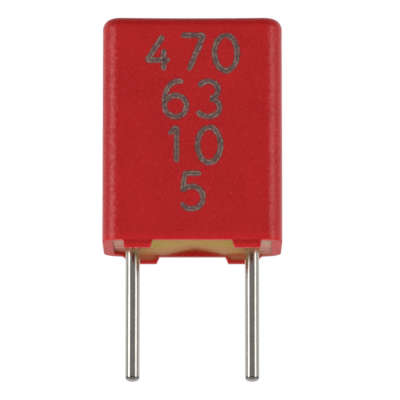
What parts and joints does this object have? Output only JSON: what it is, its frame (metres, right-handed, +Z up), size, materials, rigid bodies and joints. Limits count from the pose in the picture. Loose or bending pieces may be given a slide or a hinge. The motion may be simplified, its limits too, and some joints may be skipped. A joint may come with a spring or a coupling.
{
  "type": "box film capacitor",
  "caption": "Moulded box film capacitor on short feet, sealed below with cast resin, with tinned wire leads for through-hole boards.",
  "frame": {"origin": "midway between the two leads, on the plane of the feet, which is the board's top face", "axes": "+Z up from the board through the box, X along the row of leads, -Y the long wall with the two narrow feet, which carries the marking"},
  "size_m": [0.0074, 0.0046, 0.0151],
  "materials": {
    "case": "moulded red plastic, finely grained, with a satin sheen",
    "resin": "cast olive-amber epoxy resin, slightly translucent, with wetted edges",
    "film": "metallised plastic film, wound and pressed flat",
    "sprayed_metal": "rough flame-sprayed zinc alloy",
    "tinned_wire": "bright tinned wire with faint drawing marks"
  },
  "bodies": {
    "root": {"case": "case", "potting_resin": "resin", "film_winding": "film", "end_contact_left": "sprayed_metal", "end_contact_right": "sprayed_metal", "lead_left": "tinned_wire", "lead_right": "tinned_wire"}
  },
  "joints": []
}
